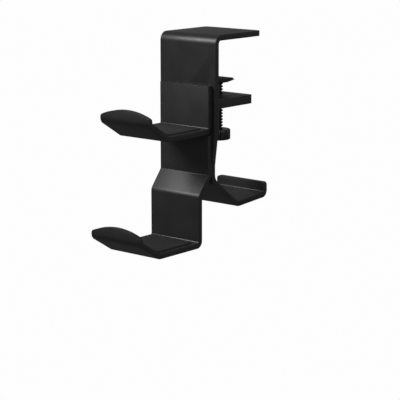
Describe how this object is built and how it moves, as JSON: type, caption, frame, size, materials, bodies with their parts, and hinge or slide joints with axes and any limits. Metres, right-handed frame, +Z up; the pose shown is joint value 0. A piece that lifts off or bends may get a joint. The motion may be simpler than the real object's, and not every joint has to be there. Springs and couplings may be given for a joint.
{
  "type": "under-desk headset holder",
  "caption": "Black clamp-on desk hanger with a hook for a headset, cradle trays in front and a screw clamp under the desk top.",
  "frame": {"origin": "middle of the rubber pad's lower face, where the top plate rests on the desk top", "axes": "+Z up, -Y towards the user, +X to the right of someone who looks at the front"},
  "size_m": [0.065, 0.1798, 0.1906],
  "materials": {
    "coated_strip": "matt",
    "screw_steel": "satin",
    "knob_plastic": "semi-gloss",
    "black_rubber": "matt"
  },
  "bodies": {
    "frame": {"main_bracket": "coated_strip", "upper_tray": "coated_strip", "lower_tray": "coated_strip", "clamp_jaw": "coated_strip", "desk_pad": "black_rubber", "upper_tray_liner": "black_rubber", "lower_tray_liner": "black_rubber", "jaw_bolt_left": "screw_steel", "jaw_bolt_right": "screw_steel", "tray_bolt_left": "screw_steel", "tray_bolt_right": "screw_steel"},
    "foot": {"pressure_foot": "coated_strip", "foot_rubber": "black_rubber"},
    "screw": {"clamp_screw": "screw_steel", "clamp_knob": "knob_plastic"}
  },
  "joints": [
    {"name": "foot_slide", "type": "slide", "parent": "frame", "child": "foot", "axis": [0, 0, 1], "range_m": [-0.0096, 0.0238]},
    {"name": "screw_turn", "type": "hinge", "parent": "foot", "child": "screw", "pos_m": [0, 0.0079, -0.0423], "axis": [0, 0, 1], "range_deg": [-1240, 3080]}
  ],
  "couplings": [
    {"joint": "screw_turn", "follows": "foot_slide", "rad_per_m": 2244}
  ]
}
